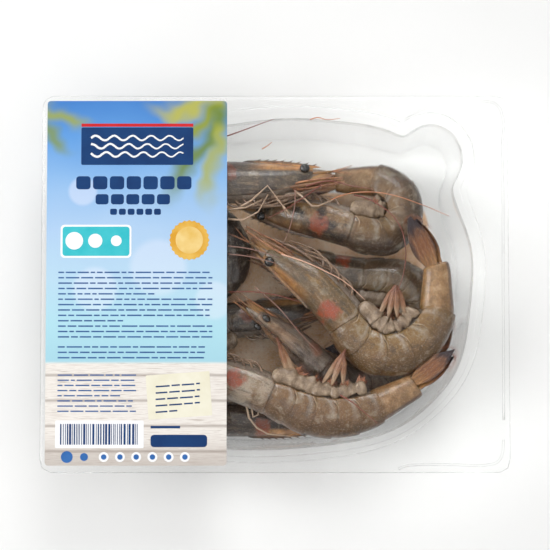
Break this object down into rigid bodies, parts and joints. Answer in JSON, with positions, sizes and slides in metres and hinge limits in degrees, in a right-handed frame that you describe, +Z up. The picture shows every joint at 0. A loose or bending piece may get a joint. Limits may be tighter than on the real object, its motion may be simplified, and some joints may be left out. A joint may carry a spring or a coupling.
{
  "type": "pack of raw shrimp",
  "caption": "Whole raw shrimp on an absorbent pad in a clear shallow tray, closed by a clear lid film with a printed label over one side.",
  "frame": {"origin": "middle of the tray's underside", "axes": "+Z up out of the lid film; +X towards the side with the finger hold; +Y towards the top of the label"},
  "size_m": [0.192, 0.155, 0.0388],
  "materials": {
    "clear_plastic": "clear and glossy",
    "clear_film": "clear and glossy",
    "printed_label": "semi-gloss print",
    "absorbent_pad": "soaked, matt",
    "shrimp_shell": "wet and semi-gloss"
  },
  "bodies": {
    "root": {"tray": "clear_plastic", "lid_film": "clear_film", "label": "printed_label", "pad": "absorbent_pad", "shrimp_far": "shrimp_shell", "shrimp_curled": "shrimp_shell", "shrimp_middle": "shrimp_shell", "shrimp_diagonal": "shrimp_shell", "shrimp_near": "shrimp_shell", "shrimp_wall": "shrimp_shell", "shrimp_low": "shrimp_shell", "shrimp_under": "shrimp_shell", "shrimp_left": "shrimp_shell"}
  },
  "joints": []
}
